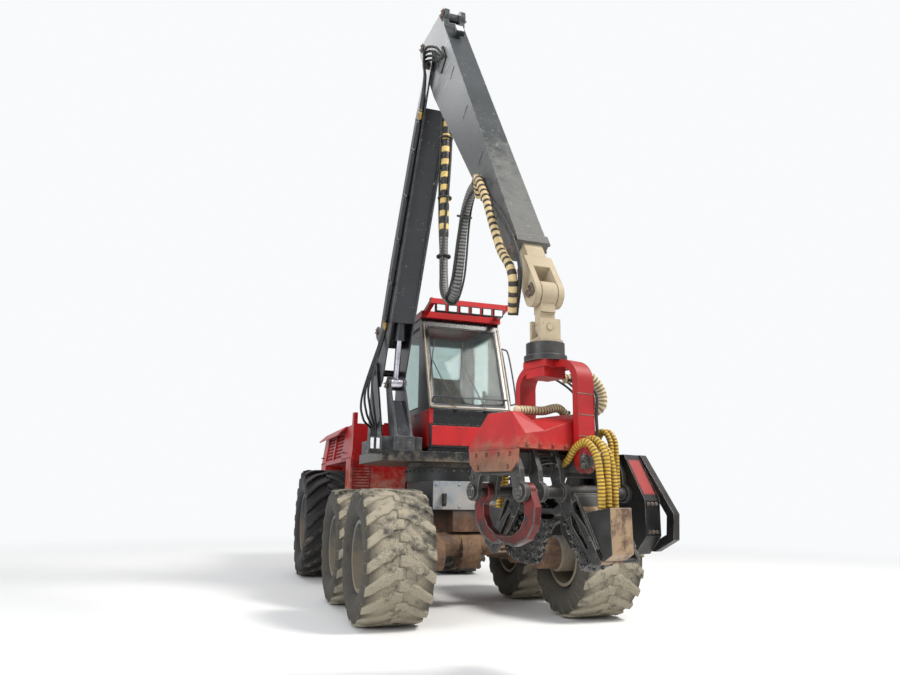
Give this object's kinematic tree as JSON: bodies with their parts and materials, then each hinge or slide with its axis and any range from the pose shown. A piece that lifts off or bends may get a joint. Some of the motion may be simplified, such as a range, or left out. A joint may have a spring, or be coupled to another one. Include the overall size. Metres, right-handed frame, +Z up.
{
  "type": "forestry harvester",
  "caption": "Wheeled forestry harvester with centre-joint steering, turning cab and crane, and a felling head hung from the jib.",
  "frame": {"origin": "On the ground at the middle of the machine as parked, crane and head included", "axes": "+Z up, -Y the way the machine faces, +X its left side"},
  "size_m": [2.98, 9.6792, 6.6729],
  "materials": {
    "crane_black": "worn satin",
    "rod_chrome": "polished",
    "worn_steel": "worn",
    "engine_block": "rough",
    "dark_steel": "worn satin",
    "glass": "clear",
    "hose": "matt",
    "head_iron": "rough",
    "lamp": "clear",
    "red_paint": "worn gloss",
    "rim_grey": "worn satin",
    "rust_red": "rough",
    "seat_cloth": "worn",
    "worn_tan": "worn",
    "tyre": "dusty",
    "hose_sleeve": "dirty"
  },
  "bodies": {
    "front": {"front_frame": "dark_steel", "bogie_axle": "rust_red", "bogie_beams": "worn_tan"},
    "rear": {"rear_frame": "dark_steel", "rear_axle": "rust_red", "engine": "engine_block", "hood": "red_paint", "hood_grilles": "red_paint"},
    "lid": {"hood_lid": "red_paint"},
    "platform": {"platform": "dark_steel", "crane_post": "crane_black", "cab_shell": "dark_steel", "cab_roof": "red_paint", "work_lamps": "lamp", "cab_glass": "glass", "cab_seat": "seat_cloth", "cab_rails": "dark_steel"},
    "door": {"cab_door": "dark_steel", "door_glass": "glass"},
    "lift_barrel": {"lift_barrel": "crane_black"},
    "lift_rod": {"lift_rod": "worn_steel"},
    "boom": {"main_boom": "crane_black", "boom_hoses": "hose"},
    "jib_barrel": {"jib_barrel": "crane_black"},
    "jib_rod": {"jib_rod": "rod_chrome"},
    "jib": {"jib": "crane_black", "jib_hose": "hose_sleeve"},
    "extension": {"jib_extension": "worn_steel"},
    "tip_link": {"tip_link": "worn_steel"},
    "brake_link": {"brake_link": "head_iron"},
    "rotator": {"rotator": "head_iron", "tilt_frame": "red_paint"},
    "head": {"head_frame": "head_iron", "head_cover": "red_paint", "head_hoses": "hose_sleeve", "saw_box": "head_iron"},
    "knife_near": {"knife_near": "red_paint"},
    "knife_far": {"knife_far": "rust_red"},
    "roller_arm_near": {"roller_arm_near": "worn_tan"},
    "roller_arm_far": {"roller_arm_far": "worn_tan"},
    "feed_roller_near": {"feed_roller_near": "head_iron"},
    "feed_roller_far": {"feed_roller_far": "head_iron"},
    "saw_bar": {"saw_bar": "worn_steel"},
    "wheel_front_right": {"tyre_front_right": "tyre", "rim_front_right": "rim_grey"},
    "wheel_front_left": {"tyre_front_left": "tyre", "rim_front_left": "rim_grey"},
    "wheel_middle_right": {"tyre_middle_right": "tyre", "rim_middle_right": "rim_grey"},
    "wheel_middle_left": {"tyre_middle_left": "tyre", "rim_middle_left": "rim_grey"},
    "wheel_rear_right": {"tyre_rear_right": "tyre", "rim_rear_right": "rim_grey"},
    "wheel_rear_left": {"tyre_rear_left": "tyre", "rim_rear_left": "rim_grey"}
  },
  "joints": [
    {"name": "spin_front_right", "type": "hinge", "parent": "front", "child": "wheel_front_right", "pos_m": [-1.135, -1.35042, 0.665], "axis": [1, 0, 0], "continuous": true},
    {"name": "spin_front_left", "type": "hinge", "parent": "front", "child": "wheel_front_left", "pos_m": [1.135, -1.35042, 0.665], "axis": [1, 0, 0], "continuous": true},
    {"name": "spin_middle_right", "type": "hinge", "parent": "front", "child": "wheel_middle_right", "pos_m": [-1.135, 0.14958, 0.665], "axis": [1, 0, 0], "continuous": true},
    {"name": "spin_middle_left", "type": "hinge", "parent": "front", "child": "wheel_middle_left", "pos_m": [1.135, 0.14958, 0.665], "axis": [1, 0, 0], "continuous": true},
    {"name": "spin_rear_right", "type": "hinge", "parent": "rear", "child": "wheel_rear_right", "pos_m": [-1.135, 3.13958, 0.8225], "axis": [1, 0, 0], "continuous": true},
    {"name": "spin_rear_left", "type": "hinge", "parent": "rear", "child": "wheel_rear_left", "pos_m": [1.135, 3.13958, 0.8225], "axis": [1, 0, 0], "continuous": true},
    {"name": "steer", "type": "hinge", "parent": "front", "child": "rear", "pos_m": [0, 1.24958, 0.985], "axis": [0, 0, -1], "range_deg": [-40, 40]},
    {"name": "slew", "type": "hinge", "parent": "front", "child": "platform", "pos_m": [0, 0.14958, 1.6803], "axis": [0, 0, -1], "range_deg": [-120, 120]},
    {"name": "lid", "type": "hinge", "parent": "rear", "child": "lid", "pos_m": [0, 4.75458, 2.326], "axis": [-1, 0, 0], "range_deg": [0, 50]},
    {"name": "door", "type": "hinge", "parent": "platform", "child": "door", "pos_m": [0.718, 0.29958, 2.5803], "axis": [0, 0, -1], "range_deg": [0, 80]},
    {"name": "boom", "type": "hinge", "parent": "platform", "child": "boom", "pos_m": [-0.75, 0.51958, 2.86], "axis": [1, 0, 0], "range_deg": [-28, 50]},
    {"name": "lift_swing", "type": "hinge", "parent": "boom", "child": "lift_barrel", "pos_m": [-0.75, -0.23954, 4.0365], "axis": [1, 0, 0], "range_deg": [-1.29, 1.91]},
    {"name": "lift_stroke", "type": "slide", "parent": "lift_barrel", "child": "lift_rod", "axis": [0, 0.2109, -0.9775], "range_m": [-0.4262, 0.23999]},
    {"name": "jib", "type": "hinge", "parent": "boom", "child": "jib", "pos_m": [-0.75, -1.65035, 6.11983], "axis": [-1, 0, 0], "range_deg": [-15, 85]},
    {"name": "jib_cylinder_swing", "type": "hinge", "parent": "boom", "child": "jib_barrel", "pos_m": [-0.75, 0.54493, 3.41746], "axis": [-1, 0, 0], "range_deg": [-3.89, 1.1]},
    {"name": "jib_cylinder_stroke", "type": "slide", "parent": "jib_barrel", "child": "jib_rod", "axis": [0, -0.4947, 0.869], "range_m": [-0.81925, 0.14704]},
    {"name": "extend", "type": "slide", "parent": "jib", "child": "extension", "axis": [0, -0.5201, -0.8541], "range_m": [0, 1.6]},
    {"name": "tip_swing", "type": "hinge", "parent": "extension", "child": "tip_link", "pos_m": [-0.75, -4.24638, 2.67201], "axis": [1, 0, 0], "range_deg": [-60, 75]},
    {"name": "brake_swing", "type": "hinge", "parent": "tip_link", "child": "brake_link", "pos_m": [-0.75, -4.24638, 2.42201], "axis": [0, 1, 0], "range_deg": [-35, 35]},
    {"name": "rotate", "type": "hinge", "parent": "brake_link", "child": "rotator", "pos_m": [-0.75, -4.24638, 2.25171], "axis": [0, 0, 1], "continuous": true},
    {"name": "tilt", "type": "hinge", "parent": "rotator", "child": "head", "pos_m": [-0.68688, -4.22708, 1.49201], "axis": [-0.2924, 0.9563, 0], "range_deg": [0, 95]},
    {"name": "knife_near", "type": "hinge", "parent": "head", "child": "knife_near", "pos_m": [-1.03226, -4.57841, 1.29701], "axis": [-0.9563, -0.2924, 0], "range_deg": [0, 55]},
    {"name": "knife_far", "type": "hinge", "parent": "head", "child": "knife_far", "pos_m": [-1.16967, -4.12895, 1.29701], "axis": [0.9563, 0.2924, 0], "range_deg": [0, 55]},
    {"name": "roller_arm_near", "type": "hinge", "parent": "head", "child": "roller_arm_near", "pos_m": [-0.58566, -4.44187, 1.29701], "axis": [-0.9563, -0.2924, 0], "range_deg": [-12, 40]},
    {"name": "roller_arm_far", "type": "hinge", "parent": "head", "child": "roller_arm_far", "pos_m": [-0.72308, -3.99241, 1.29701], "axis": [0.9563, 0.2924, 0], "range_deg": [-12, 40]},
    {"name": "feed_near", "type": "hinge", "parent": "roller_arm_near", "child": "feed_roller_near", "pos_m": [-0.56925, -4.49557, 1.0187], "axis": [0.1355, -0.4431, -0.8862], "continuous": true},
    {"name": "feed_far", "type": "hinge", "parent": "roller_arm_far", "child": "feed_roller_far", "pos_m": [-0.73949, -3.93871, 1.0187], "axis": [-0.1355, 0.4431, -0.8862], "continuous": true},
    {"name": "saw", "type": "hinge", "parent": "head", "child": "saw_bar", "pos_m": [-0.15582, -4.25295, 1.38201], "axis": [0.9563, 0.2924, 0], "range_deg": [0, 75]}
  ],
  "couplings": [
    {"joint": "lift_swing", "follows": "boom", "ratio": 0.028101},
    {"joint": "lift_stroke", "follows": "boom", "m_per_rad": -0.48495},
    {"joint": "jib_cylinder_swing", "follows": "jib", "ratio": -0.039912},
    {"joint": "jib_cylinder_stroke", "follows": "jib", "m_per_rad": -0.5502}
  ]
}
